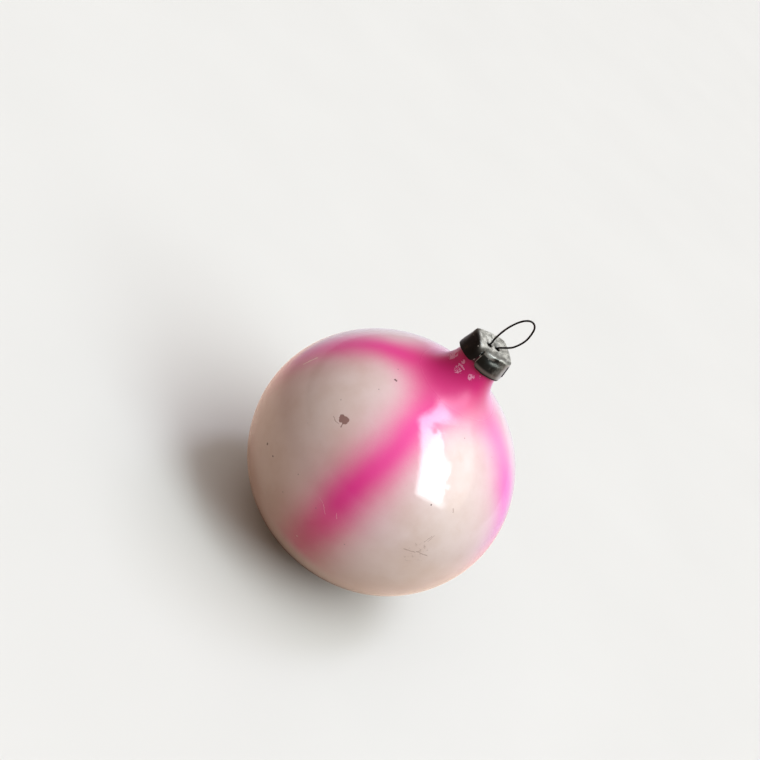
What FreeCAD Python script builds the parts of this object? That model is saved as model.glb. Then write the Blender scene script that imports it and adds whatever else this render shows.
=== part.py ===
"""Hand-blown glass ball ornament with a folded tin cap and a spring-wire hanger.

Millimetres. The origin is the ball's lowest point, on its axis, and +Z runs up through the neck.
+X runs along the line through the cap's two wire holes, so the wire loop lies in the XZ plane.

Each solid goes to parts/NODE.step:
  glass_ball   one blown shell: a slightly flattened ball, a flared shoulder and an open neck
  metal_cap    one folded sheet: a four-cornered top with two holes, and four tabs round the neck
  wire_hanger  one spring wire: a loop above the cap and two legs down inside the neck
"""

import FreeCAD, Part
import math
import os

from FreeCAD import Vector

# Glass
BALL_DIAMETER = 60.0
BALL_HEIGHT = 56.0
BALL_WALL = 0.5
NECK_TOP_RADIUS = 4.5
NECK_WALL = 0.85
NECK_TAPER_DEG = 7.0
SHOULDER_RADIUS = 9.0

# Cap
CAP_TOP_Z = 67.2
CAP_HEIGHT = 4.6
CAP_SHEET = 0.25
CAP_TO_RIM = 1.35
CAP_TWIST_DEG = 7.0
TAB_HALF_WIDTH = 3.75
TAB_TAPER = 0.15
TAB_CORNER_RADIUS = 1.1
SLIT_TOP_BELOW_CAP = 0.4
HOLE_SPACING = 2.0
HOLE_RADIUS = 0.5

# Cap outline, from the fold down to the hem: depth below the top, half width, squareness.
# Squareness 2 is a circle, and a larger one is a square with rounder corners.
CAP_SECTIONS = [(0.0, 4.2, 5.0), (1.4, 4.95, 2.6), (CAP_HEIGHT, 5.5, 2.0)]
SECTION_POINTS = 32

# Hanger
WIRE_RADIUS = 0.2
LOOP_WIDTH = 5.4
LOOP_HEIGHT = 9.2
LOOP_SIDESHIFT = 1.8
LEG_LENGTH = 19.0
LEG_SPREAD = 2.95

# Loop, from the left hole round to the right one: across from its middle line, as a share of LOOP_WIDTH,
# and up from the cap, as a share of LOOP_HEIGHT.
LOOP_SHAPE = [
    (-0.5, 0.42),
    (-0.29, 0.83),
    (0.09, 1.0),
    (0.45, 0.83),
    (0.5, 0.56),
    (0.31, 0.22),
    (0.022, 0.07),
]

# Leg, from its hole down: out from the hole, as a share of the way to LEG_SPREAD, and down, in leg lengths.
LEG_SHAPE = [(0.45, 0.16), (0.8, 0.4), (1.0, 0.75), (0.94, 1.0)]

# Derived sizes
BALL_R = BALL_DIAMETER / 2
BALL_H = BALL_HEIGHT / 2
CAP_HEM_Z = CAP_TOP_Z - CAP_HEIGHT
RIM_Z = CAP_TOP_Z - CAP_SHEET - CAP_TO_RIM
FAR = 4 * BALL_R

UP = Vector(0, 0, 1)
AXIS_FOOT = Vector(0, 0, 0)


def shoulder(ball_r, ball_h, rim_r, radius):
    """The concave arc that joins the ball to the neck, in the XZ plane.

    Returns the ellipse angle where the arc leaves the ball, the arc's centre, its two ends and its middle.
    """
    taper = math.radians(NECK_TAPER_DEG)
    neck_out = Vector(math.cos(taper), 0, math.sin(taper))
    rim = Vector(rim_r, 0, RIM_Z)

    def at(angle):
        point = Vector(ball_r * math.cos(angle), 0, BALL_H + ball_h * math.sin(angle))
        out = Vector(math.cos(angle) / ball_r, 0, math.sin(angle) / ball_h).normalize()
        return point, point + out * radius

    # Halve the range of ellipse angles until the arc is tangent to the neck.
    low, high = math.radians(45), math.radians(89)
    for _ in range(60):
        angle = (low + high) / 2
        gap = (at(angle)[1] - rim).dot(neck_out) - radius
        low, high = (angle, high) if gap > 0 else (low, angle)
    ball_end, centre = at(angle)
    neck_end = centre - neck_out * radius
    middle = centre + ((ball_end + neck_end) / 2 - centre).normalize() * radius
    return angle, ball_end, middle, neck_end


def glass_solid(ball_r, ball_h, rim_r, radius, top_z):
    """A solid of revolution bounded by one glass surface, flat across the top."""
    angle, ball_end, middle, neck_end = shoulder(ball_r, ball_h, rim_r, radius)
    centre = Vector(0, 0, BALL_H)
    ellipse = Part.Ellipse(centre + Vector(ball_r, 0, 0), centre + Vector(0, 0, ball_h), centre)
    neck = rim_r - neck_end.x
    top = Vector(neck_end.x + neck * (top_z - neck_end.z) / (RIM_Z - neck_end.z), 0, top_z)
    pole = Vector(0, 0, BALL_H - ball_h)
    edges = [
        ellipse.toShape(-math.pi / 2, angle),
        Part.Arc(ball_end, middle, neck_end).toShape(),
        Part.makeLine(neck_end, top),
        Part.makeLine(top, Vector(0, 0, top_z)),
        Part.makeLine(Vector(0, 0, top_z), pole),
    ]
    return Part.Face(Part.Wire(Part.__sortEdges__(edges))).revolve(AXIS_FOOT, UP, 360)


def glass_ball():
    outside = glass_solid(BALL_R, BALL_H, NECK_TOP_RADIUS, SHOULDER_RADIUS, RIM_Z)
    inside = glass_solid(
        BALL_R - BALL_WALL,
        BALL_H - BALL_WALL,
        NECK_TOP_RADIUS - NECK_WALL,
        SHOULDER_RADIUS + (BALL_WALL + NECK_WALL) / 2,
        RIM_Z + NECK_WALL,
    )
    return outside.cut(inside)


def section(depth, half_width, squareness):
    """One closed outline of the cap, square-cornered or round, at a depth below its top."""
    points = []
    for i in range(SECTION_POINTS):
        a = 2 * math.pi * i / SECTION_POINTS
        c, s = math.cos(a), math.sin(a)
        r = half_width / (abs(c) ** squareness + abs(s) ** squareness) ** (1 / squareness)
        points.append(Vector(r * c, r * s, CAP_TOP_Z - depth))
    curve = Part.BSplineCurve()
    curve.interpolate(points, PeriodicFlag=True)
    return Part.Wire(curve.toShape())


def cup(inset):
    """The solid under the cap's sheet, or the whole cap if inset is 0."""
    top, middle, hem = [(d, w - inset, n) for d, w, n in CAP_SECTIONS]
    if inset:
        top = (inset, top[1], top[2])
        hem = (hem[0] + inset, hem[1], hem[2])
    return Part.makeLoft([section(*top), section(*middle), section(*hem)], True, False)


def tab_window():
    """The space that one tab may fill: a panel with rounded lower corners, standing out along +X."""
    z_top = CAP_TOP_Z - CAP_SHEET / 2
    z_low = CAP_HEM_Z
    r = TAB_CORNER_RADIUS
    wide, narrow = TAB_HALF_WIDTH, TAB_HALF_WIDTH - TAB_TAPER
    nip = r * (1 - math.sqrt(0.5))
    corners = [
        Vector(0, narrow, z_low + r),
        Vector(0, narrow - nip, z_low + nip),
        Vector(0, narrow - r, z_low),
    ]
    mirrored = [Vector(0, -p.y, p.z) for p in reversed(corners)]
    edges = [
        Part.makeLine(Vector(0, -wide, z_top), Vector(0, wide, z_top)),
        Part.makeLine(Vector(0, wide, z_top), corners[0]),
        Part.Arc(*corners).toShape(),
        Part.makeLine(corners[-1], mirrored[0]),
        Part.Arc(*mirrored).toShape(),
        Part.makeLine(mirrored[-1], Vector(0, -wide, z_top)),
    ]
    return Part.Face(Part.Wire(edges)).extrude(Vector(BALL_R, 0, 0))


def metal_cap():
    sheet = cup(0).cut(cup(CAP_SHEET))
    keep = Part.makeCylinder(BALL_R, FAR, Vector(0, 0, CAP_TOP_Z - SLIT_TOP_BELOW_CAP), UP)
    for k in range(4):
        window = tab_window()
        window.rotate(AXIS_FOOT, UP, 90 * k)
        keep = keep.fuse(window)
    cap = sheet.common(keep)
    cap.rotate(AXIS_FOOT, UP, CAP_TWIST_DEG)
    for x in (-HOLE_SPACING / 2, HOLE_SPACING / 2):
        cap = cap.cut(Part.makeCylinder(HOLE_RADIUS, FAR, Vector(x, 0, RIM_Z), UP))
    return cap.removeSplitter()


def hanger_path():
    """The wire's centre line: up the left leg, round the bent-over loop, and down the right leg."""
    hole = HOLE_SPACING / 2
    loop = [(LOOP_SIDESHIFT + LOOP_WIDTH * across, LOOP_HEIGHT * up) for across, up in LOOP_SHAPE]
    leg = [(hole + (LEG_SPREAD - hole) * out, -LEG_LENGTH * down) for out, down in LEG_SHAPE]
    into_left = [(-hole, 0.0)]
    into_right = [(hole + WIRE_RADIUS / 2, WIRE_RADIUS / 2), (hole, -CAP_SHEET)]
    xz = [(-x, z) for x, z in reversed(leg)] + into_left + loop + into_right + leg
    points = [Vector(x, 0, CAP_TOP_Z + z) for x, z in xz]
    curve = Part.BSplineCurve()
    curve.interpolate(points)
    return Part.Wire(curve.toShape())


def wire_hanger():
    path = hanger_path()
    edge = path.Edges[0]
    start = edge.valueAt(edge.FirstParameter)
    along = edge.tangentAt(edge.FirstParameter)
    sweep = Part.BRepOffsetAPI.MakePipeShell(path)
    sweep.setBiNormalMode(Vector(0, 1, 0))
    sweep.add(Part.Wire(Part.makeCircle(WIRE_RADIUS, start, along)))
    sweep.build()
    sweep.makeSolid()
    return sweep.shape()


def main():
    os.makedirs("parts", exist_ok=True)
    for make in (glass_ball, metal_cap, wire_hanger):
        shape = make()
        if not shape.isValid() or not shape.Solids:
            raise ValueError(f"{make.__name__} is not a valid solid")
        shape.exportStep(f"parts/{make.__name__}.step")
        print(make.__name__, len(shape.Solids), "solid", round(shape.Volume, 1), "mm3", shape.BoundBox)


main()
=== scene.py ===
import math

import bmesh
import bpy
from mathutils import Matrix, Quaternion, Vector, noise
from mathutils.geometry import delaunay_2d_cdt


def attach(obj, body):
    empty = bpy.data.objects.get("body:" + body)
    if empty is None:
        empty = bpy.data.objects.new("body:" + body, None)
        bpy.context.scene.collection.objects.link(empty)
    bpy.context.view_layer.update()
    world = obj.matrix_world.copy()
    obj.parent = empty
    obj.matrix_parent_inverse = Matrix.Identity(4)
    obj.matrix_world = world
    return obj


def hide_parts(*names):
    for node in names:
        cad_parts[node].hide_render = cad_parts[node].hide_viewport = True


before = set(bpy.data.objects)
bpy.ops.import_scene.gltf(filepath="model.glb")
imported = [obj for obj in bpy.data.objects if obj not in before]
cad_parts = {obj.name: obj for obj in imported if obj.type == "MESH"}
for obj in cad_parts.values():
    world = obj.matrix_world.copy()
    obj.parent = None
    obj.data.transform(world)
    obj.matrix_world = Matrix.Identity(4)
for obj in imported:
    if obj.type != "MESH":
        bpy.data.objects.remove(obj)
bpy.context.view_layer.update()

# Every length below is in millimetres in the object's frame, and MM turns it into metres.
MM = 0.001

# Glass
BALL_RADIUS = 30.0
BALL_HALF_HEIGHT = 28.0
WALL = 0.5
NECK_WALL = 0.85
NECK_TOP_RADIUS = 4.5
NECK_TAPER = math.radians(7)
SHOULDER_RADIUS = 9.0
RIM_Z = 65.6
RIM_ROUND = 0.2
RIM_STEPS = 7
GLASS_WAVE = 0.10
BALL_CENTRE = Vector((0, 0, BALL_HALF_HEIGHT))
OUTER_RINGS = 120
INNER_RINGS = 60
GLASS_SEGMENTS = 192
EASING_PASSES = 12

# Cap
CAP_TOP_Z = 67.2
CAP_HEIGHT = 4.6
CAP_SHEET = 0.25
CAP_TWIST = math.radians(7)
CAP_TOP_HALF = 4.2
CAP_HEM_HALF = 5.5
FOLD_RADIUS = 0.4
SLIT_START = 0.55
TAB_CORNER = 1.15
CRUSH_ANGLE = math.radians(218)
CRUSH_WIDTH = math.radians(22)
CRUSH_DEPTH = 1.6
HOLE_X = 1.0
HOLE_RADIUS = 0.5
SHEET_GRID = 0.27
BORDER_GRID = 0.24
BORDER_CLEARANCE = 0.13

# How each tab was cut and bent by hand, counted from +X round the cap: how far its hem stands off, how far
# its middle bulges, and how much shorter than the cap's height its first and its last corner are.
TABS = [
    {"stand": 0.14, "bulge": 0.10, "short": (0.35, 0.05)},
    {"stand": 0.10, "bulge": 0.12, "short": (0.05, 0.10)},
    {"stand": 0.22, "bulge": -0.02, "short": (0.0, 0.85)},
    {"stand": 0.06, "bulge": 0.22, "short": (0.55, 0.0)},
]
FRONT_TAB = 3

# The slit after each tab: half its width at the top, and how much wider it is at the hem on either side
SLITS = [
    {"half": 0.10, "open": 0.12},
    {"half": 0.06, "open": 0.18},
    {"half": 0.12, "open": 0.12},
    {"half": 0.10, "open": 0.16},
]

# Hanger
WIRE_RADIUS = 0.21
WIRE_SIDES = 16
LOOP_WIDTH = 5.4
LOOP_HEIGHT = 9.2
LOOP_SIDESHIFT = 1.8
LEG_LENGTH = 19.0
LEG_SPREAD = 2.95

# The loop, from the left hole round: across from its middle line, as a share of LOOP_WIDTH, and up from the
# cap, as a share of LOOP_HEIGHT
LOOP_SHAPE = [
    (-0.5, 0.42),
    (-0.42, 0.64),
    (-0.27, 0.84),
    (-0.09, 0.96),
    (0.11, 1.0),
    (0.31, 0.95),
    (0.44, 0.82),
    (0.5, 0.56),
    (0.43, 0.36),
    (0.28, 0.19),
]

# A leg, from its hole down: out from the hole, as a share of the way to LEG_SPREAD, and down, as a share of
# LEG_LENGTH
LEG_SHAPE = [(0.18, 0.06), (0.45, 0.16), (0.8, 0.4), (1.0, 0.75), (0.94, 1.0)]

# The four airbrushed stripes: the meridian each follows, in degrees from +X, between which angles from the
# neck the spray was let go, how heavily it was laid on, and how many degrees it drifts near the neck
STRIPES = [
    (161.5, 80, 106, 1.0, 5),
    (-119.5, 114, 127, 1.0, 0),
    (-33, 84, 104, 0.96, 0),
    (66, 90, 112, 1.0, 0),
]
STRIPE_SIGMA = 3.9

# The way from the axis to the side where the pink over the neck was sprayed thinly, and where painted light
# turns the pink paler and lilac
THIN_SPRAY_AND_LIT_SIDE = Vector((math.cos(-0.5), math.sin(-0.5), 0))

# Marks on the ball. A place is its degrees round from +X and its degrees down from the neck. A patch is a
# place, its radius and how ragged its edge is. A scratch is its two ends and its width.
CHIP = [(-147.5, 59.7, 0.60, 0.5), (-145.4, 59.3, 0.84, 0.4), (-146.5, 60.6, 0.48, 0.5)]
CHIP_STEM = [((-144.8, 60.6), (-143.5, 62.2), 0.15)]
DARK_SPECKS = [
    (-158.1, 33.1, 0.24, 0.6),
    (-156.9, 32.8, 0.22, 0.6),
    (-160.3, 94.8, 0.30, 0.4),
    (-153.7, 94.4, 0.22, 0.5),
    (-88.3, 60.5, 0.17, 0.5),
]
# A pale streak painted in as a highlight, laid out like a scratch
PAINTED_HIGHLIGHT_STREAK = [((172.3, 70.8), (171.2, 63.6), 0.24)]
PALE_SCRATCHES = [
    ((-124.2, 86.8), (-120.6, 89.5), 0.075),
    ((-127.1, 85.9), (-124.4, 86.9), 0.055),
    ((-118.0, 85.4), (-116.3, 87.5), 0.075),
]
PALE_SPECKS = [(-123, 109.8, 0.22, 0.6), (178, 84, 0.18, 0.6)]
DARK_SCRATCHES = [
    ((-81.9, 75.7), (-80.0, 71.8), 0.10),
    ((-80.6, 74.9), (-79.0, 71.2), 0.08),
    ((-150.3, 62.5), (-147.4, 62.8), 0.11),
    ((-147.6, 62.8), (-145.3, 62.0), 0.10),
    ((-76.5, 58.5), (-75.5, 60.4), 0.12),
    ((-88, 81.6), (-82, 81.0), 0.13),
    ((-82.5, 80.4), (-76, 80.8), 0.15),
]
SCUFF = (-82, 81, 2.6, 0.5)

# Where the lacquer flakes off the neck: degrees round from +X, height, and reach in millimetres
FLAKES = [
    (-186, 60.3, 1.9),
    (-141, 60.2, 1.5),
    (-107, 60.8, 1.0),
    (-148, 61.8, 0.7),
    (-90, 62.0, 0.6),
    (60, 61.0, 1.3),
    (8, 60.2, 1.0),
]
FLAKES_OUT = 5.2

# View: where the camera stands round the ball, how far it is rolled, and where the ball's centre lies in
# front of it
VIEW_AZIMUTH = math.radians(-27)
VIEW_ELEVATION = math.radians(30)
VIEW_ROLL = math.radians(43.1)
VIEW_BALL_X = 0.44
VIEW_BALL_Y = -17.74
VIEW_BALL_DEPTH = 329.5
LENS = 71.1
SENSOR = 36.0

# Window, as the camera sees it: the way to its middle, and the way its upright edges run. Its sky lights
# rough surfaces with the first radiance and is mirrored with the second.
WINDOW_AHEAD = Vector((0.874, 0.146, 0.464)).normalized()
WINDOW_UP = Vector((0.0, 0.954, -0.300)).normalized()
WINDOW_RADIANCE = 6.0
MIRRORED_RADIANCE = 10.5

# Floor: how far it lies under the ball, its radius, and the way across it to the room's light side
FLOOR_GAP = 0.15
FLOOR_RADIUS = 3500
LIT_SIDE = Vector((0.67, 0.75, 0.0))


# ---------------------------------------------------------------- small helpers

def smooth(x, low, high):
    """0 below low, 1 above high, and an even S curve between."""
    t = min(max((x - low) / (high - low), 0.0), 1.0)
    return t * t * (3 - 2 * t)


def bump_at(x, centre, width):
    """A bell curve with height 1."""
    return math.exp(-((x - centre) / width) ** 2)


def wave(p, size, seed=0.0):
    """Smooth noise between about -1 and 1 with features of this size."""
    return noise.noise(p / size + Vector((seed, seed * 0.7, -seed * 1.3)))


def srgb(r, g, b):
    """A colour given as 0 to 255 screen values, as linear values with alpha."""
    def linear(v):
        v /= 255
        return v / 12.92 if v <= 0.04045 else ((v + 0.055) / 1.055) ** 2.4
    return (linear(r), linear(g), linear(b), 1.0)


def new_object(name, bm, materials):
    """A shaded-smooth mesh object in metres from a bmesh in millimetres."""
    bmesh.ops.scale(bm, vec=(MM, MM, MM), verts=bm.verts)
    bmesh.ops.recalc_face_normals(bm, faces=bm.faces)
    mesh = bpy.data.meshes.new(name)
    bm.to_mesh(mesh)
    bm.free()
    mesh.shade_smooth()
    for material in materials:
        mesh.materials.append(material)
    obj = bpy.data.objects.new(name, mesh)
    bpy.context.scene.collection.objects.link(obj)
    return obj


def spline(points, per_span):
    """Points along a smooth curve that passes through all of points."""
    ends = [points[0] * 2 - points[1]] + points + [points[-1] * 2 - points[-2]]
    out = []
    for a, b, c, d in zip(ends, ends[1:], ends[2:], ends[3:]):
        for i in range(per_span):
            t = i / per_span
            out.append(0.5 * (2 * b + (c - a) * t + (2 * a - 5 * b + 4 * c - d) * t * t
                              + (3 * b - a - 3 * c + d) * t ** 3))
    return out + [points[-1]]


class Graph:
    """A node tree being built, with one short call for each kind of node."""

    def __init__(self, tree):
        self.tree = tree
        tree.nodes.clear()

    def node(self, kind, inputs=None, **settings):
        made = self.tree.nodes.new(kind)
        for name, value in settings.items():
            setattr(made, name, value)
        for name, value in (inputs or {}).items():
            self.feed(value, made.inputs[name])
        return made

    def feed(self, value, socket):
        if isinstance(value, bpy.types.NodeSocket):
            self.tree.links.new(value, socket)
        else:
            socket.default_value = value

    def math(self, operation, a, b=0.0, clamp=False):
        inputs = {0: a, 1: b, 2: 0.0}
        return self.node("ShaderNodeMath", inputs, operation=operation, use_clamp=clamp).outputs[0]

    def wrapped(self, angle):
        """The angle brought to between -pi and pi."""
        return self.node("ShaderNodeMath", {0: angle, 1: math.pi, 2: -math.pi}, operation="WRAP").outputs[0]

    def chain(self, operation, values):
        """All the values joined, from the first on, by an operation on two values."""
        result = values[0]
        for value in values[1:]:
            result = self.math(operation, result, value)
        return result

    def plus(self, *values):
        return self.chain("ADD", values)

    def times(self, *values):
        return self.chain("MULTIPLY", values)

    def minus(self, a, b):
        return self.math("SUBTRACT", a, b)

    def inverse(self, value):
        """1 minus the value."""
        return self.math("SUBTRACT", 1.0, value)

    def absolute(self, value):
        return self.math("ABSOLUTE", value)

    def largest(self, values):
        return self.chain("MAXIMUM", values)

    def vector(self, operation, a, b=(0, 0, 0)):
        made = self.node("ShaderNodeVectorMath", {0: a, 1: b}, operation=operation)
        return made.outputs["Value" if operation in ("DOT_PRODUCT", "DISTANCE", "LENGTH") else 0]

    def dot(self, a, b):
        return self.vector("DOT_PRODUCT", a, b)

    def distance(self, a, b):
        return self.vector("DISTANCE", a, b)

    def scaled(self, vector, scale):
        return self.node("ShaderNodeVectorMath", {0: vector, "Scale": scale}, operation="SCALE").outputs[0]

    def xyz(self, vector):
        """The vector's three parts."""
        return self.node("ShaderNodeSeparateXYZ", {0: vector}).outputs

    def step(self, value, low, high, to_low=0.0, to_high=1.0):
        """A smooth step from to_low at low to to_high at high. low may be above high."""
        if low > high:
            low, high, to_low, to_high = high, low, to_high, to_low
        inputs = {"Value": value, "From Min": low, "From Max": high, "To Min": to_low, "To Max": to_high}
        return self.node("ShaderNodeMapRange", inputs, interpolation_type="SMOOTHSTEP").outputs[0]

    def band(self, value, low, high, blur):
        """1 between low and high, 0 outside, with edges this soft."""
        rise = self.step(value, low - blur, low + blur)
        fall = self.step(value, high + blur, high - blur)
        return self.times(rise, fall)

    def noise(self, vector, scale, detail=2.0, roughness=0.5, distortion=0.0):
        inputs = {"Vector": vector, "Scale": scale, "Detail": detail, "Roughness": roughness,
                  "Distortion": distortion}
        return self.node("ShaderNodeTexNoise", inputs).outputs["Fac"]

    def wander(self, vector, scale, detail, roughness=0.5):
        """Noise about 0, between -0.5 and 0.5."""
        return self.minus(self.noise(vector, scale, detail, roughness), 0.5)

    def cells(self, vector, scale):
        """Random cells: the distance from each one's middle, and a random tone from 0 to 1 for each."""
        made = self.node("ShaderNodeTexVoronoi", {"Vector": vector, "Scale": scale}).outputs
        return made["Distance"], self.node("ShaderNodeSeparateColor", {0: made["Color"]}).outputs[0]

    def mix(self, factor, a, b):
        made = self.node("ShaderNodeMix", data_type="RGBA")
        for value, socket in ((factor, made.inputs[0]), (a, made.inputs[6]), (b, made.inputs[7])):
            self.feed(value, socket)
        return made.outputs[2]

    def bump(self, height, distance):
        return self.node("ShaderNodeBump", {"Height": height, "Distance": distance * MM}).outputs[0]


def material_graph(name):
    """A new material, its graph, and the mesh's own coordinates in millimetres."""
    material = bpy.data.materials.new(name)
    material.use_nodes = True
    graph = Graph(material.node_tree)
    place = graph.scaled(graph.node("ShaderNodeTexCoord").outputs["Object"], 1 / MM)
    return material, graph, place


def finish_material(graph, inputs):
    """The one Principled shader that ends each material."""
    shader = graph.node("ShaderNodeBsdfPrincipled", inputs)
    graph.tree.links.new(shader.outputs[0], graph.node("ShaderNodeOutputMaterial").inputs[0])


# ---------------------------------------------------------------- glass ball

def shoulder(radius, half_height, rim_radius, arc_radius):
    """The arc from ball to neck: the ellipse angle at its foot, its centre, and its two ends' angles."""
    out = Vector((math.cos(NECK_TAPER), math.sin(NECK_TAPER)))
    low, high = math.radians(45), math.radians(89)
    for _ in range(60):
        angle = (low + high) / 2
        foot = Vector((radius * math.cos(angle), BALL_HALF_HEIGHT + half_height * math.sin(angle)))
        normal = Vector((math.cos(angle) / radius, math.sin(angle) / half_height)).normalized()
        centre = foot + normal * arc_radius
        if (centre - Vector((rim_radius, RIM_Z))).dot(out) > arc_radius:
            low = angle
        else:
            high = angle
    start = math.atan2(-normal.y, -normal.x) % math.tau
    end = math.atan2(-out.y, -out.x) % math.tau
    return angle, centre, start, end


def surface_profile(radius, half_height, rim_radius, arc_radius, rings):
    """(r, z) points of one glass surface from the bottom pole to just under the rim."""
    angle, centre, start, end = shoulder(radius, half_height, rim_radius, arc_radius)
    points = []
    for i in range(rings):
        a = -math.pi / 2 + (angle + math.pi / 2) * i / rings
        points.append(Vector((radius * math.cos(a), BALL_HALF_HEIGHT + half_height * math.sin(a))))
    arc_rings = max(rings // 6, 8)
    for i in range(arc_rings + 1):
        a = start + (end - start) * i / arc_rings
        points.append(centre + Vector((math.cos(a), math.sin(a))) * arc_radius)
    rim = Vector((rim_radius, RIM_Z))
    neck_rings = max(rings // 12, 4)
    foot = points[-1]
    for i in range(1, neck_rings):
        points.append(foot.lerp(rim, i / neck_rings))
    return eased(points, rings)


def eased(points, rings):
    """The profile with its bends softened, more and more from high on the ball to the shoulder's foot."""
    for _ in range(EASING_PASSES):
        softer = list(points)
        for i in range(rings // 2, len(points) - 1):
            share = smooth(i, rings * 0.7, rings)
            softer[i] = points[i].lerp((points[i - 1] + points[i + 1]) / 2, share / 2)
        points = softer
    return points


def rounded_rim():
    """(r, z) points over the rim of the neck, from its outside to its inside."""
    middle = Vector((NECK_TOP_RADIUS - NECK_WALL / 2, RIM_Z - RIM_ROUND))
    points = []
    for i in range(RIM_STEPS + 1):
        a = math.pi * i / RIM_STEPS
        points.append(middle + Vector((math.cos(a) * NECK_WALL / 2, math.sin(a) * RIM_ROUND)))
    return points


def blown(p, r):
    """Where a point of the glass really lies: free-blown glass is never quite round."""
    share = smooth(r, 4, 16)
    out = Vector((p.x, p.y, 0)).normalized().lerp((p - BALL_CENTRE).normalized(), share).normalized()
    swell = GLASS_WAVE * (wave(p, 21.0, 3.1) * share + 0.5 * wave(p, 7.0, 8.7) * (1 - share))
    return p + out * swell


def glass_ring(bm, r, z, chipped):
    """One ring of the shell's points, or one point on the axis. The rim's rings are chipped a little."""
    if r < 1e-6:
        return [bm.verts.new((0, 0, z))]
    ring = []
    for j in range(GLASS_SEGMENTS):
        a = math.tau * j / GLASS_SEGMENTS
        p = Vector((r * math.cos(a), r * math.sin(a), z))
        if chipped:
            p.z -= 0.22 * abs(wave(p, 0.9, 5.0)) + 0.05 * abs(wave(p, 0.3, 1.0))
        ring.append(bm.verts.new(blown(p, r)))
    return ring


def glass_mesh():
    """A closed shell: the lacquered outside, the broken-off rim and the silvered inside."""
    outer = surface_profile(BALL_RADIUS, BALL_HALF_HEIGHT, NECK_TOP_RADIUS, SHOULDER_RADIUS, OUTER_RINGS)
    inner = surface_profile(BALL_RADIUS - WALL, BALL_HALF_HEIGHT - WALL, NECK_TOP_RADIUS - NECK_WALL,
                            SHOULDER_RADIUS + (WALL + NECK_WALL) / 2, INNER_RINGS)
    rim = rounded_rim()
    profile = outer + rim + list(reversed(inner))
    rim_first, rim_last = len(outer), len(outer) + len(rim) - 1
    bm = bmesh.new()
    rings = [glass_ring(bm, r, z, rim_first <= k <= rim_last) for k, (r, z) in enumerate(profile)]
    for k in range(len(rings) - 1):
        a, b = rings[k], rings[k + 1]
        slot = 0 if k < rim_first else (1 if k < rim_last else 2)
        for j in range(GLASS_SEGMENTS):
            n = (j + 1) % GLASS_SEGMENTS
            corners = [a[j % len(a)], a[n % len(a)], b[n % len(b)], b[j % len(b)]]
            face = bm.faces.new(dict.fromkeys(corners))
            face.material_index = slot
    return bm


# ---------------------------------------------------------------- cap

def squircle(angle, half, power):
    """Distance from the axis to a rounded square's outline, in the direction of angle."""
    c, s = abs(math.cos(angle)), abs(math.sin(angle))
    return half / (c ** power + s ** power) ** (1 / power)


def crushed(angle):
    """How far the one pressed-in corner of the top lies inside a square's corner."""
    off = (angle - CRUSH_ANGLE + math.pi) % math.tau - math.pi
    return CRUSH_DEPTH * bump_at(off, 0.0, CRUSH_WIDTH)


def wall_radius(angle, depth):
    """The cap's outside radius at an angle from its first tab and a depth below its top."""
    depth = max(depth, 0)
    t = min(depth / CAP_HEIGHT, 1.05)
    half = CAP_TOP_HALF + (CAP_HEM_HALF - CAP_TOP_HALF) * (0.4 * math.sin(math.pi / 2 * t) + 0.6 * t)
    squareness = 2 + 3 * math.exp(-depth / 1.6)
    return squircle(angle, half, squareness) - crushed(angle) * math.exp(-depth / 1.1)


def fold_distance(angle):
    """How far from the axis the sheet folds down."""
    return wall_radius(angle, 0)


def flat_length(angle, depth):
    """Distance along the unfolded sheet from the axis to a depth on the side."""
    return fold_distance(angle) - FOLD_RADIUS + FOLD_RADIUS * math.pi / 2 + depth - FOLD_RADIUS


def fold(angle, s):
    """Bends the flat sheet: a point at distance s from the axis goes to its place on the finished cap.

    Returns its radius, height and depth below the top, its tab, and how near it is to the tab's middle.
    """
    tab = int(math.floor(angle / (math.pi / 2) + 0.5)) % 4
    off = (angle + math.pi / 4) % (math.pi / 2) - math.pi / 4
    mid = math.cos(2 * off) ** 2
    r_fold = fold_distance(angle)
    bend = (s - (r_fold - FOLD_RADIUS)) / FOLD_RADIUS
    if bend <= 0:
        r, depth = s, 0.0
    elif bend < math.pi / 2:
        r = r_fold - FOLD_RADIUS + FOLD_RADIUS * math.sin(bend)
        depth = FOLD_RADIUS * (1 - math.cos(bend))
    else:
        r = r_fold
        depth = FOLD_RADIUS + (bend - math.pi / 2) * FOLD_RADIUS
    r += wall_radius(angle, depth) - r_fold
    style = TABS[tab]
    down = depth / CAP_HEIGHT
    r += style["stand"] * smooth(down, 0.15, 1.0)
    r += style["bulge"] * mid * bump_at(down, 0.45, 0.35)
    return r, CAP_TOP_Z - depth, depth, tab, mid


def dented(p, s, depth, tab, mid):
    """The hand-pressed look: a dished top, a raised crease along the folds, and small dents everywhere."""
    front = tab == FRONT_TAB
    radial = Vector((p.x, p.y, 0)).normalized() if s > 0.01 else Vector()
    p.z -= 0.30 * smooth(s, 4.1, 1.0)
    crease = bump_at(s, 4.15, 0.45) * (1 if depth < 1 else 0)
    p.z += crease * (0.16 if front else 0.05) * mid
    valley = bump_at(s, 3.45, 0.35) * (0.14 if front else 0.04)
    p.z -= valley * mid
    hollow = bump_at(depth, 0.9, 0.5) * mid
    p -= radial * hollow * (0.16 if front else 0.07)
    side = smooth(depth, 0.1, 0.8)
    p.z += (1 - side) * (0.10 * wave(p, 1.6, 2.0) + 0.03 * wave(p, 0.5, 9.0))
    p += radial * side * (0.07 * wave(p, 1.9, 4.0) + 0.012 * wave(p, 0.6, 6.0))
    for x in (-HOLE_X, HOLE_X):
        near = (Vector((p.x - x, p.y)).length - HOLE_RADIUS) / 0.22
        if depth < 0.1 and near > -1:
            p.z -= 0.13 * math.exp(-max(near, 0) ** 2)
    return p


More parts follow.
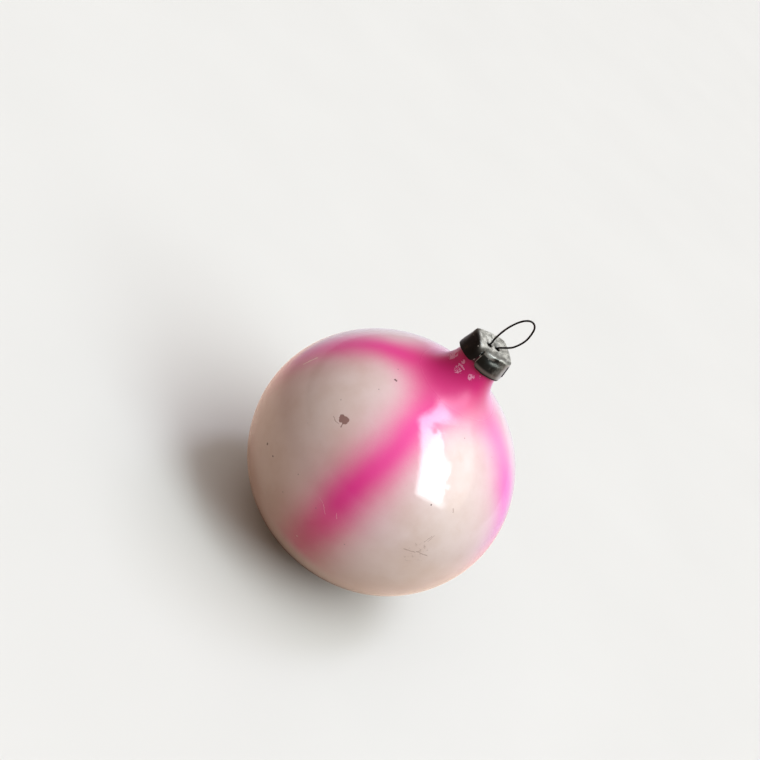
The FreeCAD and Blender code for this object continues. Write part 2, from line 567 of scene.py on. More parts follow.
def tab_side_point(middle, side, hem, slit, share):
    """A point on a tab's edge on the flat sheet, as (angle, s), on one side of the tab's middle.

    share runs from 0 at the slit's top to 1 at the rounded corner and 2 at the corner's end on the hem.
    """
    straight = hem - TAB_CORNER
    corner = middle + side * math.pi / 4
    gap = slit["half"]
    if share <= 1:
        depth = SLIT_START + (straight - SLIT_START) * share
    else:
        turn = math.pi / 2 * (share - 1)
        depth = straight + TAB_CORNER * math.sin(turn)
        gap += TAB_CORNER * (1 - math.cos(turn))
    gap += slit["open"] * smooth(depth, SLIT_START, hem)
    angle = corner - side * gap / wall_radius(corner, depth)
    return angle, flat_length(angle, depth)


def tab_outline(tab):
    """One tab's edge on the flat sheet, as (angle, s): down one side, along the hem and up the other."""
    middle = tab * math.pi / 2
    before, after = SLITS[tab - 1], SLITS[tab]
    short = TABS[tab]["short"]
    shares = [i / 12 for i in range(13)] + [1 + i / 8 for i in range(1, 9)]
    first = [tab_side_point(middle, -1, CAP_HEIGHT - short[0], before, share) for share in shares]
    last = [tab_side_point(middle, 1, CAP_HEIGHT - short[1], after, share) for share in reversed(shares)]
    a, b = first[-1][0], last[0][0]
    hem = []
    for i in range(1, 24):
        angle = a + (b - a) * i / 24
        cut = short[0] + (short[1] - short[0]) * i / 24
        hem.append((angle, flat_length(angle, CAP_HEIGHT - cut)))
    corner = middle + math.pi / 4
    slit_top = [(corner, flat_length(corner, SLIT_START - after["half"]))]
    return first + hem + last + slit_top


def flat_point(angle, s):
    return Vector((s * math.cos(angle), s * math.sin(angle)))


def resampled(loop, spacing):
    """The loop with extra points, so that no edge is longer than about spacing."""
    out = []
    for a, b in zip(loop, loop[1:] + loop[:1]):
        steps = max(round((b - a).length / spacing), 1)
        out += [a.lerp(b, i / steps) for i in range(steps)]
    return out


def hole_loop(x):
    """A punched hole's edge, a little ragged, on the flat sheet."""
    loop = []
    for i in range(28):
        a = math.tau * i / 28
        r = HOLE_RADIUS * (1 + 0.10 * noise.noise(Vector((math.cos(a) * 1.5 + x, math.sin(a) * 1.5, 4.2))))
        turned = Vector((x + r * math.cos(a), r * math.sin(a)))
        turned.rotate(Matrix.Rotation(-CAP_TWIST, 2))
        loop.append(turned)
    return loop


def inside(p, loop):
    """True if p is inside a closed loop."""
    found = False
    for a, b in zip(loop, loop[1:] + loop[:1]):
        if (a.y > p.y) != (b.y > p.y) and p.x < a.x + (p.y - a.y) / (b.y - a.y) * (b.x - a.x):
            found = not found
    return found


def on_sheet(p, outline, holes):
    """True if a point of the flat sheet is inside its outline and in none of its holes."""
    return inside(p, outline) and not any(inside(p, hole) for hole in holes)


def sheet_points(outline, holes, border):
    """Points in rings over the flat sheet, closer together about the fold, and clear of its border."""
    about_fold = [-1.1, -0.8, -0.55, -0.4, -0.27, -0.14, 0.0, 0.13, 0.28, 0.45, 0.65]
    rings = [-3.95, -3.6, -3.25, -2.9, -2.55, -2.2, -1.85, -1.45] + about_fold
    rings += [0.9 + SHEET_GRID * i for i in range(15)]
    points = []
    for k, ring in enumerate(rings):
        mean = CAP_TOP_HALF + ring
        count = max(int(math.tau * mean / SHEET_GRID) // 4 * 4, 6)
        for j in range(count):
            a = math.tau * (j + 0.5 * (k % 2)) / count
            scale = fold_distance(a) / CAP_TOP_HALF
            share = smooth(mean, 0.8, CAP_TOP_HALF)
            s = mean * (1 + (scale - 1) * share) if ring < 0 else fold_distance(a) + ring
            p = flat_point(a, s)
            if on_sheet(p, outline, holes):
                if min((p - q).length_squared for q in border) > BORDER_CLEARANCE ** 2:
                    points.append(p)
    return points


def folded(p):
    """The place on the finished cap of a point of the flat sheet."""
    angle, s = math.atan2(p.y, p.x) % math.tau, p.length
    r, z, depth, tab, mid = fold(angle, s)
    place = dented(Vector((r * math.cos(angle), r * math.sin(angle), z)), s, depth, tab, mid)
    place.rotate(Matrix.Rotation(CAP_TWIST, 3, "Z"))
    return place


def cap_mesh():
    """The folded sheet's outside surface. Solidify gives it its thickness."""
    edge = []
    for tab in range(4):
        edge += tab_outline(tab)
    outline = resampled([flat_point(a, s) for a, s in edge], BORDER_GRID)
    holes = [hole_loop(-HOLE_X), hole_loop(HOLE_X)]
    border, edges = [], []
    for loop in [outline] + holes:
        base = len(border)
        border += loop
        edges += [(base + i, base + (i + 1) % len(loop)) for i in range(len(loop))]
    flat = border + sheet_points(outline, holes, border)
    points, _, faces, *_ = delaunay_2d_cdt(flat, edges, [], 1, 1e-5)
    bm = bmesh.new()
    made = [bm.verts.new(folded(p)) for p in points]
    for face in faces:
        middle = sum((points[i] for i in face), Vector((0, 0))) / 3
        if on_sheet(middle, outline, holes):
            bm.faces.new([made[i] for i in face])
    loose = [v for v in bm.verts if not v.link_faces]
    bmesh.ops.delete(bm, geom=loose, context="VERTS")
    return bm


def add_cap(material):
    cap = new_object("cap_sheet", cap_mesh(), [material])
    if cap.data.polygons[0].normal.z < 0:
        cap.data.flip_normals()
    sheet = cap.modifiers.new("sheet", "SOLIDIFY")
    sheet.thickness = CAP_SHEET * MM
    sheet.offset = -1
    sheet.use_even_offset = True
    soft = cap.modifiers.new("soft_edges", "SUBSURF")
    soft.levels = soft.render_levels = 1
    return cap


# ---------------------------------------------------------------- hanger

def hanger_points():
    """The wire's centre line, bent by hand: up from the left leg, round the loop and down the right leg."""
    left = LOOP_SIDESHIFT - LOOP_WIDTH / 2
    loop = [(LOOP_SIDESHIFT + LOOP_WIDTH * across, LOOP_HEIGHT * up) for across, up in LOOP_SHAPE]
    leg = [(HOLE_X + (LEG_SPREAD - HOLE_X) * out, -LEG_LENGTH * down) for out, down in LEG_SHAPE]
    from_left = [(-HOLE_X, 0.0), (left - 0.2, LOOP_HEIGHT * 0.18)]
    into_right = [
        (HOLE_X + LOOP_WIDTH * 0.17, LOOP_HEIGHT * 0.07),
        (HOLE_X + WIRE_RADIUS, WIRE_RADIUS * 0.8),
        (HOLE_X, -CAP_SHEET),
    ]
    line = [(-x, z) for x, z in reversed(leg)] + from_left + loop + into_right + leg
    return [Vector((x, 0, CAP_TOP_Z + z)) for x, z in line]


def wire_mesh():
    """A round wire swept along the hanger's centre line, with cut ends and slight kinks."""
    path = []
    for p in spline(hanger_points(), 14):
        path.append(p + Vector((0, 0.10 * wave(p, 4.0, 2.5), 0)))
    bm = bmesh.new()
    rings = []
    for i, p in enumerate(path):
        along = (path[min(i + 1, len(path) - 1)] - path[max(i - 1, 0)]).normalized()
        across = Vector((0, 1, 0)) - along * along.y
        across.normalize()
        out = along.cross(across)
        radius = WIRE_RADIUS * (1 + 0.03 * wave(p, 0.8, 7.0))
        if i in (0, len(path) - 1):
            radius *= 0.8
        ring = []
        for k in range(WIRE_SIDES):
            a = math.tau * k / WIRE_SIDES
            ring.append(bm.verts.new(p + (across * math.cos(a) + out * math.sin(a)) * radius))
        rings.append(ring)
    for a, b in zip(rings, rings[1:]):
        for k in range(WIRE_SIDES):
            n = (k + 1) % WIRE_SIDES
            bm.faces.new((a[k], a[n], b[n], b[k]))
    bm.faces.new(list(reversed(rings[0])))
    bm.faces.new(rings[-1])
    return bm


# ---------------------------------------------------------------- marks on the lacquer

def on_ball(meridian, polar):
    """The point of the ball's surface at these degrees round from +X and down from the neck."""
    m, p = math.radians(meridian), math.radians(polar)
    ray = Vector((math.sin(p) * math.cos(m), math.sin(p) * math.sin(m), math.cos(p)))
    reach = 1 / math.sqrt((ray.x ** 2 + ray.y ** 2) / BALL_RADIUS ** 2 + (ray.z / BALL_HALF_HEIGHT) ** 2)
    return BALL_CENTRE + ray * reach


def patch(g, place, meridian, polar, radius, ragged):
    """1 inside a ragged round patch on the ball, 0 outside."""
    wobble = g.times(g.wander(place, 1.1 / radius, 3.0, 0.6), ragged * radius * 2)
    away = g.plus(g.distance(place, on_ball(meridian, polar)), wobble)
    return g.step(away, radius * 1.08, radius * 0.92)


def scratch(g, place, start, end, width):
    """1 along a thin wavering line between two places on the ball, 0 elsewhere."""
    a, b = on_ball(*start), on_ball(*end)
    middle, half = (a + b) / 2, (b - a).length / 2
    along = (b - a).normalized()
    out = (middle - BALL_CENTRE).normalized()
    local = g.vector("SUBTRACT", place, middle)
    wobble = g.times(g.wander(place, 1.3, 2.0), 0.5)
    off = g.absolute(g.plus(g.dot(local, along.cross(out)), wobble))
    run = g.absolute(g.dot(local, along))
    near = g.step(g.absolute(g.dot(local, out)), 3.0, 2.0)
    return g.times(g.step(off, width, width * 0.3), g.step(run, half, half * 0.85), near)


def marks(g, place, patches=(), scratches=()):
    """1 on any of these patches and scratches, 0 elsewhere."""
    made = [patch(g, place, *values) for values in patches]
    made += [scratch(g, place, *values) for values in scratches]
    return g.largest(made)


def fine_specks(g, place, z):
    """1 on tiny specks scattered over the ball, with none on its neck."""
    distance, tone = g.cells(place, 0.36)
    return g.times(g.step(tone, 0.80, 0.81), g.step(distance, 0.075, 0.03), g.step(z, 56.0, 54.0))


def flaked(g, place, z):
    """1 where the lacquer lifts off in shards just below the cap."""
    slivers = []
    for stretch in ((3.4, 3.4, 1.4), (1.5, 1.5, 3.6)):
        _, tone = g.cells(g.vector("MULTIPLY", place, stretch), 1.0)
        slivers.append(g.step(tone, 0.60, 0.62))
    near = []
    for azimuth, height, reach in FLAKES:
        a = math.radians(azimuth)
        spot = Vector((FLAKES_OUT * math.cos(a), FLAKES_OUT * math.sin(a), height))
        near.append(g.step(g.distance(place, spot), reach, reach * 0.55))
    torn = g.times(g.noise(place, 1.2, 3.0, 0.65), 2.4)
    ragged = g.step(g.plus(g.largest(near), torn), 1.80, 1.90)
    below_cap = g.times(g.step(z, 58.6, 59.2), g.step(z, 64.0, 63.0))
    return g.times(g.largest(slivers), below_cap, ragged)


# ---------------------------------------------------------------- lacquer

def unsprayed(g, place, x, y, r, up):
    """How much of the ball the four feathered stripes leave bare, from 0 to 1."""
    round_axis = g.math("ARCTAN2", y, x)
    polar = g.math("ARCTAN2", r, up)
    uneven = g.times(g.wander(place, 0.07, 2.0), 3.0)
    gaps = []
    for meridian, fade_from, fade_to, strength, drift in STRIPES:
        turn = g.minus(round_axis, math.radians(meridian))
        if drift:
            turned = g.step(polar, math.radians(50), math.radians(22), 0.0, math.radians(drift))
            turn = g.minus(turn, turned)
        away = g.math("DIVIDE", g.plus(g.times(g.wrapped(turn), r), uneven), STRIPE_SIGMA)
        square = g.times(away, away)
        core = g.math("EXPONENT", g.times(square, -0.5))
        mist = g.math("EXPONENT", g.times(square, -0.14))
        bell = g.plus(g.times(core, 0.80 * strength), g.times(mist, 0.18 * strength))
        sprayed = g.step(polar, math.radians(fade_to), math.radians(fade_from))
        gaps.append(g.inverse(g.times(bell, sprayed)))
    return g.times(*gaps)


def neck_spray(g, r, up, thin_spray_and_lit_side):
    """How far the pink covers the neck and its shoulder, from 0 to 1. It reaches least on the thin side."""
    reach = g.plus(r, g.times(g.absolute(thin_spray_and_lit_side), 0.15), g.times(thin_spray_and_lit_side, 0.07))
    return g.times(g.step(reach, 18.8, 7.6), g.step(up, 8.0, 18.0))


def pink_amount(g, place, bare, neck, thin_spray_and_lit_side, z):
    """How much pink lacquer there is, from 0 to 1, with a fine grain where it fades out, and made paler
    high on the lit side as painted light.
    """
    pink = g.inverse(g.times(bare, g.inverse(neck)))
    # painted light: the pink is made paler high on the lit side
    paler_on_lit_side = g.times(g.step(thin_spray_and_lit_side, 3.0, 8.0), g.step(z, 45.0, 52.0))
    pink = g.times(pink, g.inverse(g.times(paler_on_lit_side, 0.3)))
    grain = g.times(g.wander(place, 3.5, 2.0, 0.7), 0.16)
    fading = g.times(pink, g.inverse(pink))
    return g.math("ADD", pink, g.times(g.times(grain, fading), 4.0), clamp=True)


def lacquer_colour(g, place, z, pink, neck, thin_spray_and_lit_side):
    """Clouded warm pearl under pink: deeper at the neck, darker low down as painted shade, lilac on the lit
    side as painted light, and a painted sheen at the rim.
    """
    cloud = g.noise(place, 0.09, 4.0, 0.55)
    pearl = g.mix(g.step(cloud, 0.35, 0.7), srgb(226, 211, 204), srgb(216, 197, 186))
    blotch = g.step(g.noise(place, 0.3, 3.0, 0.6), 0.58, 0.8)
    pearl = g.mix(g.times(blotch, 0.25), pearl, srgb(205, 178, 160))
    hot = g.mix(neck, srgb(238, 46, 150), srgb(214, 26, 120))
    hot = g.mix(g.step(z, 57.0, 63.0, 0.0, 0.22), hot, srgb(176, 28, 98))
    # painted shade: the pink is darkened low down on the ball
    hot = g.mix(g.step(z, 36.0, 12.0, 0.0, 0.7), hot, srgb(200, 8, 92))
    hot = g.mix(g.times(g.noise(place, 0.25, 3.0), 0.3), hot, srgb(224, 34, 124))
    # painted light: the pink is turned lilac on the lit side
    hot = g.mix(g.step(thin_spray_and_lit_side, 4.0, 16.0, 0.0, 0.9), hot, srgb(238, 52, 190))
    colour = g.mix(pink, pearl, hot)

    # painted sheen: where the pearl is seen edge-on it is painted milky, and the pink lilac
    edge_on = g.node("ShaderNodeLayerWeight", {"Blend": 0.5}).outputs["Facing"]
    painted_rim_sheen = g.mix(pink, srgb(246, 220, 226), srgb(244, 172, 232))
    return g.mix(g.step(edge_on, 0.48, 0.95, 0.0, 0.45), colour, painted_rim_sheen)


def lacquer_material():
    """Pearl lacquer with airbrushed pink stripes over silvered glass, aged and knocked about."""
    material, g, place = material_graph("pearl_lacquer")
    x, y, z = g.xyz(place)
    up = g.minus(z, BALL_HALF_HEIGHT)
    r = g.math("SQRT", g.plus(g.times(x, x), g.times(y, y)))
    thin_spray_and_lit_side = g.dot(place, THIN_SPRAY_AND_LIT_SIDE)
    neck = neck_spray(g, r, up, thin_spray_and_lit_side)
    pink = pink_amount(g, place, unsprayed(g, place, x, y, r, up), neck, thin_spray_and_lit_side, z)
    colour = lacquer_colour(g, place, z, pink, neck, thin_spray_and_lit_side)

    # where the lacquer has gone and the dull silvering shows
    chip = marks(g, place, CHIP, CHIP_STEM)
    specks = marks(g, place, DARK_SPECKS)
    fine = fine_specks(g, place, z)
    gone = g.largest([chip, specks, fine])
    colour = g.mix(g.times(chip, 0.95), colour, srgb(142, 106, 100))
    dark_spots = g.math("ADD", g.times(specks, 0.85), g.times(fine, 0.55), clamp=True)
    colour = g.mix(dark_spots, colour, srgb(84, 52, 52))

    # scratches and specks, pale where they only mark the surface and dark where they cut through; a pale
    # streak is painted highlight
    streak = marks(g, place, scratches=PAINTED_HIGHLIGHT_STREAK)
    pale = marks(g, place, PALE_SPECKS, PALE_SCRATCHES)
    dark = marks(g, place, scratches=DARK_SCRATCHES)
    smears = g.step(g.noise(place, 1.2, 4.0, 0.7), 0.54, 0.66)
    scuff = g.times(patch(g, place, *SCUFF), smears)
    colour = g.mix(g.times(pale, 0.62), colour, srgb(255, 188, 214))
    # painted highlight: the pale streak
    colour = g.mix(g.times(streak, 0.85), colour, srgb(255, 226, 212))
    colour = g.mix(g.times(g.largest([dark, scuff]), 0.6), colour, srgb(142, 112, 100))

    # shards flaking off just below the cap, and painted shadow under its hem
    flake = flaked(g, place, z)
    colour = g.mix(g.times(flake, 0.72), colour, srgb(246, 176, 208))
    # painted shadow: the neck is painted near black just under the cap's hem
    colour = g.mix(g.step(z, 63.2, 63.8, 0.0, 0.9), colour, srgb(40, 12, 22))

    smudge = g.step(g.noise(place, 0.16, 4.0, 0.6), 0.45, 0.75)
    coat_rough = g.plus(g.times(smudge, 0.05), 0.05)
    coat_rough = g.plus(coat_rough, g.step(r, 12.5, 8.0, 0.0, 0.32))
    coat_rough = g.plus(coat_rough, g.times(g.largest([gone, flake, scuff]), 0.4))
    peel = g.noise(place, 0.45, 2.0)
    grit = g.noise(place, 4.0, 2.0)
    height = g.plus(g.times(peel, 0.020), g.times(grit, 0.0006))
    height = g.minus(height, g.times(g.largest([gone, pale, streak, dark]), 0.02))
    height = g.plus(height, g.times(flake, 0.03))
    normal = g.bump(height, 1.0)
    finish_material(g, {
        "Base Color": colour,
        "Roughness": 0.42,
        "Specular IOR Level": 0.35,
        "Coat Weight": g.times(g.step(r, 7.0, 11.0, 0.5, 1.0), g.step(gone, 0.0, 1.0, 1.0, 0.3)),
        "Coat Roughness": coat_rough,
        "Coat IOR": 1.55,
        "Normal": normal,
        "Coat Normal": normal,
    })
    return material


# ---------------------------------------------------------------- glass and silvering

def bare_glass_material():
    """The broken-off neck rim: clear, faintly green soda glass with dust in its chips."""
    material, g, place = material_graph("bare_glass_rim")
    dust = g.step(g.noise(place, 1.6, 4.0, 0.6), 0.45, 0.65)
    colour = g.mix(dust, srgb(196, 205, 196), srgb(222, 214, 200))
    finish_material(g, {
        "Base Color": colour,
        "Roughness": g.step(dust, 0.0, 1.0, 0.08, 0.4),
        "Specular IOR Level": 0.6,
        "Normal": g.bump(g.noise(place, 2.2, 3.0, 0.6), 0.05),
    })
    return material


def silvering_material():
    """The inside's silver film, gone brown and spotted with age."""
    material, g, place = material_graph("old_silvering")
    age = g.step(g.noise(place, 0.22, 5.0, 0.65), 0.4, 0.7)
    distance, _ = g.cells(place, 0.7)
    spots = g.step(distance, 0.22, 0.1)
    colour = g.mix(age, srgb(214, 206, 192), srgb(150, 126, 96))
    colour = g.mix(g.times(spots, 0.7), colour, srgb(70, 56, 46))
    finish_material(g, {
        "Base Color": colour,
        "Metallic": 0.9,
        "Roughness": g.step(age, 0.0, 1.0, 0.16, 0.38),
        "Normal": g.bump(g.noise(place, 0.5, 2.0), 0.05),
    })
    return material


# ---------------------------------------------------------------- tin and wire

def tin_side_colour(g, x, y, hem, streaks, mottle):
    """The sides: black on the left tab, and on the crushed corner as painted shade; across the front tab,
    painted light from dark at its left to pale at its right; grey behind.
    """
    blotches = g.times(g.minus(mottle, 0.5), 5.0)
    # painted light: the front tab runs from near black at its left to pale at its right
    front = g.mix(g.step(g.plus(x, streaks, blotches), 0.2, 6.6), srgb(27, 30, 27), srgb(186, 190, 182))
    front = g.mix(g.times(g.band(hem, 63.3, 64.0, 0.3), 0.4), front, srgb(160, 156, 150))
    # painted light: the front tab's right part brightened further
    front = g.mix(g.step(x, 2.5, 3.8, 0.0, 0.75), front, srgb(208, 209, 204))
    # near black on the left tab, and on the crushed corner as painted shade
    side = g.mix(g.step(g.plus(y, g.times(x, -0.5)), -1.6, -3.6), srgb(24, 24, 23), front)
    return g.mix(g.times(g.step(g.plus(y, streaks), 0.6, 3.8), 0.75), side, srgb(122, 119, 112))


def tin_top_colour(g, y, mottle, grit):
    """The top: warm pale grey, freckled dark, and darker along its front edge as painted shade in the
    valley behind the fold.
    """
    rub = g.plus(g.times(mottle, 0.65), g.times(grit, 0.35))
    pale = g.mix(g.step(rub, 0.38, 0.60), srgb(104, 106, 99), srgb(208, 208, 198))
    # painted shade: darker in the valley behind the front fold
    return g.mix(g.times(g.band(y, -3.7, -2.3, 0.5), 0.75), pale, srgb(80, 82, 76))


def dark_round_holes(g, place, mottle):
    """1 on the dark patches round the sheet's two holes, where the wire goes through."""
    dark_rings = []
    for x in (-HOLE_X, HOLE_X):
        away = g.distance(place, Vector((x, 0, CAP_TOP_Z - 0.25)))
        away = g.plus(away, g.times(g.minus(mottle, 0.5), 0.9))
        dark_rings.append(g.step(away, 0.95, 0.55))
    return g.largest(dark_rings)


def beside_slit(g, place, angle):
    """How far a place is past a slit, counted round the cap, and 1 if it is out on that side of the cap."""
    past = g.dot(place, Vector((-math.sin(angle), math.cos(angle), 0)))
    outer = g.step(g.dot(place, Vector((math.cos(angle), math.sin(angle), 0))), 3.0, 3.5)
    return past, outer


def tin_black_edges_and_shadow_gaps(g, place, z, hem):
    """1 where the sheet is painted black: along the hem as a painted shadow gap, and on the sides of the
    slit past the front tab as its dark edges and painted shade between them.
    """
    past, outer = beside_slit(g, place, CAP_TWIST + math.radians(315))
    sides = g.times(g.band(past, -0.65, 1.8, 0.08), outer, g.step(z, 66.6, 66.2))
    return g.largest([sides, g.step(hem, 63.30, 63.16)])


def tin_rubbed_and_highlit_edges(g, place, x, y, z, streaks, grit):
    """1 where the tin is bright: rubbed on the near slit's lips, rubbed and painted as highlight on its
    bends, and a painted highlight along the fold over the front tab.
    """
    past, outer = beside_slit(g, place, CAP_TWIST + math.radians(225))
    near_lip = g.times(g.band(past, 0.12, 0.30, 0.04), g.band(z, 63.9, 66.0, 0.25))
    far_lip = g.times(g.band(past, -0.34, -0.14, 0.04), g.band(z, 63.6, 64.5, 0.25))
    lips = g.times(g.largest([near_lip, far_lip]), outer)
    # painted highlight along the welt over the front tab
    painted_welt_highlight = g.times(g.band(z, CAP_TOP_Z - 0.75, CAP_TOP_Z - 0.25, 0.12), g.step(y, -2.9, -3.4))
    painted_welt_highlight = g.times(painted_welt_highlight, g.band(g.plus(x, streaks), -2.6, -0.2, 0.7))
    # the bends: rubbed bright, and a painted highlight along the folds
    bend = g.step(g.node("ShaderNodeNewGeometry").outputs["Pointiness"], 0.53, 0.60)
    bend = g.times(bend, g.step(z, 66.1, 66.5), g.step(grit, 0.35, 0.6))
    return g.largest([bend, g.times(lips, 0.85), g.times(painted_welt_highlight, 0.35)])


def tin_material():
    """Tarnished tinplate: near black on its left side and as painted shade, pale and gritty where it is
    rubbed, with painted light and highlights.
    """
    material, g, place = material_graph("tarnished_tin")
    x, y, z = g.xyz(place)
    facing_up = g.step(g.xyz(g.node("ShaderNodeTexCoord").outputs["Normal"])[2], 0.45, 0.85)
    mottle = g.noise(place, 0.8, 6.0, 0.62, 0.4)
    grit = g.noise(place, 4.5, 4.0, 0.7)
    streaks = g.times(g.wander(g.vector("MULTIPLY", place, (3.2, 3.2, 0.5)), 1.0, 4.0, 0.6), 1.6)

    # the front tab's hem was cut a little askew, so heights along it are counted from a tilted line
    hem = g.plus(z, g.times(x, 0.071))
    flat = g.times(facing_up, g.step(g.plus(x, g.times(streaks, 0.4)), -4.1, -3.0))
    colour = g.mix(flat, tin_side_colour(g, x, y, hem, streaks, mottle), tin_top_colour(g, y, mottle, grit))

    distance, _ = g.cells(place, 3.2)
    pits = g.step(distance, 0.2, 0.08)
    colour = g.mix(g.times(pits, 0.45), colour, srgb(28, 27, 25))
    rust = g.times(g.step(g.noise(place, 0.6, 5.0, 0.6), 0.60, 0.72), 0.25)
    colour = g.mix(rust, colour, srgb(92, 78, 62))
    colour = g.mix(g.times(dark_round_holes(g, place, mottle), 0.75), colour, srgb(30, 29, 27))
    # painted shadow: near black along the hem and beside the slit past the front tab
    colour = g.mix(g.times(tin_black_edges_and_shadow_gaps(g, place, z, hem), 0.92), colour, srgb(14, 14, 13))
    # bright rubbed tin, and painted highlights on the bends and the welt
    bright = tin_rubbed_and_highlit_edges(g, place, x, y, z, streaks, grit)
    colour = g.mix(g.times(bright, 0.85), colour, srgb(206, 206, 198))

    height = g.plus(g.times(mottle, 0.6), g.times(grit, 0.15))
    height = g.minus(height, g.times(pits, 0.2))
    finish_material(g, {
        "Base Color": colour,
        "Metallic": g.step(g.largest([flat, bright]), 0.0, 1.0, 0.7, 0.25),
        "Roughness": g.step(mottle, 0.3, 0.7, 0.36, 0.5),
        "Normal": g.bump(height, 0.06),
    })
    return material


def wire_material():
    """Oxidised spring wire, almost black, drawn along its length and rubbed where it was bent."""
    material, g, place = material_graph("dark_spring_wire")
    tarnish = g.noise(place, 1.1, 5.0, 0.6)
    fine = g.noise(place, 9.0, 3.0, 0.6)
    colour = g.mix(g.step(tarnish, 0.35, 0.65), srgb(14, 13, 13), srgb(36, 32, 29))
    rubbed = g.times(g.step(g.noise(place, 0.7, 3.0), 0.6, 0.72), 0.6)
    colour = g.mix(rubbed, colour, srgb(92, 86, 80))
    finish_material(g, {
        "Base Color": colour,
        "Metallic": 0.8,
        "Roughness": g.step(fine, 0.3, 0.7, 0.3, 0.5),
        "Normal": g.bump(g.plus(g.times(tarnish, 0.5), g.times(fine, 0.3)), 0.03),
    })
    return material


# ---------------------------------------------------------------- floor, room and camera

def floor_material():
    """A plain pale floor to look at. It lights the ball brown, and mirrors warm, with a painted contact
    shadow dark close to the ball.
    """
    material, g, place = material_graph("pale_floor")
    light_path = g.node("ShaderNodeLightPath").outputs
    pale = g.mix(g.noise(place, 0.02, 2.0), srgb(209, 208, 203), srgb(214, 213, 208))
    brown = srgb(68, 50, 38)
    away = g.vector("LENGTH", place)
    # painted shadow: in reflections the floor is dark close to the ball
    mirrored_contact_shadow = g.mix(g.step(away, 7, 24), srgb(92, 70, 58), srgb(234, 206, 184))
    lit_side = g.dot(g.vector("NORMALIZE", place), LIT_SIDE)
    far = g.mix(g.step(lit_side, 0.1, 0.8), srgb(160, 130, 118), srgb(206, 204, 210))
    mirrored = g.mix(g.step(away, 130, 60), far, mirrored_contact_shadow)
    lit = g.mix(light_path["Is Glossy Ray"], brown, mirrored)
    finish_material(g, {
        "Base Color": g.mix(light_path["Is Camera Ray"], lit, pale),
        "Roughness": 0.7,
        "Specular IOR Level": 0.25,
    })
    return material


def add_floor():
    """A big round flat floor just below the ball."""
    bm = bmesh.new()
    bmesh.ops.create_circle(bm, cap_ends=True, cap_tris=False, segments=96, radius=FLOOR_RADIUS)
    bmesh.ops.translate(bm, verts=bm.verts, vec=(0, 0, -FLOOR_GAP))
    new_object("floor", bm, [floor_material()])


def add_camera():
    """The camera, looking along the photo's line of sight. Returns which way it is turned."""
    back = Vector((math.sin(VIEW_AZIMUTH) * math.cos(VIEW_ELEVATION),
                   -math.cos(VIEW_AZIMUTH) * math.cos(VIEW_ELEVATION),
                   math.sin(VIEW_ELEVATION)))
    turn = (-back).to_track_quat("-Z", "Y") @ Quaternion((0, 0, 1), VIEW_ROLL)
    data = bpy.data.cameras.new("camera")
    data.lens = LENS
    data.sensor_width = SENSOR
    data.clip_start = 0.005
    data.clip_end = 20
    camera = bpy.data.objects.new("camera", data)
    bpy.context.scene.collection.objects.link(camera)
    camera.rotation_mode = "QUATERNION"
    camera.rotation_quaternion = turn
    camera.location = (BALL_CENTRE - turn @ Vector((VIEW_BALL_X, VIEW_BALL_Y, -VIEW_BALL_DEPTH))) * MM
    bpy.context.scene.camera = camera
    return turn


def window_light(g, direction, turn):
    """The window that lights the ball: open sky down its left and along its top, dimmer trees in the rest.

    Returns its colour and how open it is, from 0 to 1, in each direction.
    """
    ahead = turn @ WINDOW_AHEAD
    up = turn @ WINDOW_UP
    right = up.cross(ahead)
    depth = g.dot(direction, ahead)
    front = g.step(depth, 0.10, 0.25)
    safe = g.math("MAXIMUM", depth, 0.05)
    across = g.math("DIVIDE", g.dot(direction, right), safe)
    height = g.math("DIVIDE", g.dot(direction, up), safe)

    # the pane is straight at its sides and its foot, and its top slopes up to the right
    sloped = g.minus(height, g.times(across, 0.36))
    pane = g.times(g.band(across, -0.42, 0.48, 0.07), g.step(height, -0.76, -0.58))
    pane = g.times(pane, g.step(sloped, 0.82, 0.64), front)

    treetops = g.minus(-0.06, g.times(height, 0.30))
    leaves = g.times(g.wander(direction, 7.0, 3.0), 0.55)
    past = g.minus(across, g.plus(treetops, leaves))
    trees = g.times(g.step(past, -0.06, 0.08), g.step(height, 0.54, 0.42))
    sky = g.mix(g.step(height, 0.2, 0.7), srgb(238, 250, 255), srgb(232, 234, 255))
    return g.mix(trees, sky, srgb(104, 99, 93)), pane


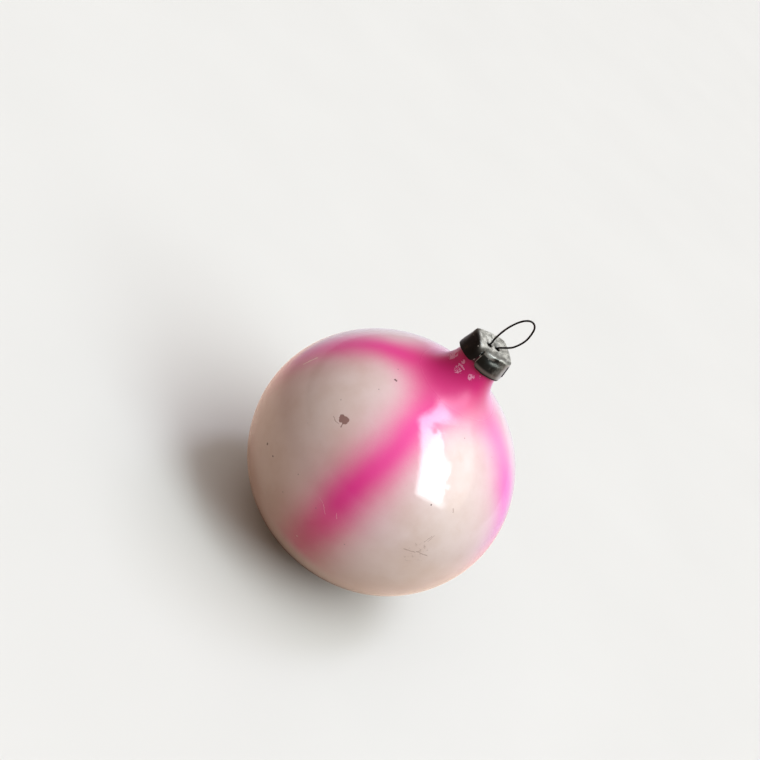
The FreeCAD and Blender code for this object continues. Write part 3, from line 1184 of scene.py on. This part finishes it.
def add_world(turn):
    """A pale backdrop to look at, and a soft room to mirror: brown on the left and light on the right."""
    world = bpy.data.worlds.new("studio")
    bpy.context.scene.world = world
    world.use_nodes = True
    g = Graph(world.node_tree)
    direction = g.node("ShaderNodeTexCoord").outputs["Generated"]
    light_side = (turn @ Vector((0.70, 0.45, 0.60))).normalized()
    side = g.dot(direction, light_side)
    room = g.mix(g.step(side, -0.35, 0.60), srgb(78, 46, 26), srgb(184, 146, 118))
    room = g.mix(g.step(side, 0.25, 0.95), room, srgb(222, 226, 230))
    beyond = g.step(g.dot(direction, turn @ Vector((0, 0, -1))), 0.25, 0.85)
    room = g.mix(g.times(beyond, g.step(side, -0.9, 0.1)), room, srgb(214, 207, 206))

    view, pane = window_light(g, direction, turn)
    light_path = g.node("ShaderNodeLightPath").outputs
    seen = light_path["Is Camera Ray"]
    extra = g.times(light_path["Is Glossy Ray"], MIRRORED_RADIANCE - WINDOW_RADIANCE)
    glow = g.plus(WINDOW_RADIANCE, extra)
    dull = g.node("ShaderNodeBackground", {"Color": g.mix(seen, room, srgb(244, 244, 244))})
    bright = g.node("ShaderNodeBackground", {
        "Color": view,
        "Strength": g.times(pane, g.times(g.inverse(seen), glow)),
    })
    both = g.node("ShaderNodeAddShader", {0: dull.outputs[0], 1: bright.outputs[0]})
    g.tree.links.new(both.outputs[0], g.node("ShaderNodeOutputWorld").inputs[0])


# ---------------------------------------------------------------- the whole object

def main():
    bpy.context.scene.view_settings.view_transform = "Standard"
    turn = add_camera()
    coats = [lacquer_material(), bare_glass_material(), silvering_material()]
    glass = new_object("glass_shell", glass_mesh(), coats)
    cap = add_cap(tin_material())
    wire = new_object("hanger_wire", wire_mesh(), [wire_material()])
    for piece, node, body, finish in (
        (glass, "glass_ball", "glass", "lacquered_glass"),
        (cap, "metal_cap", "cap", "tarnished_tin"),
        (wire, "wire_hanger", "hanger", "spring_wire"),
    ):
        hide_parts(node)
        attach(piece, body)
    add_floor()
    add_world(turn)


main()
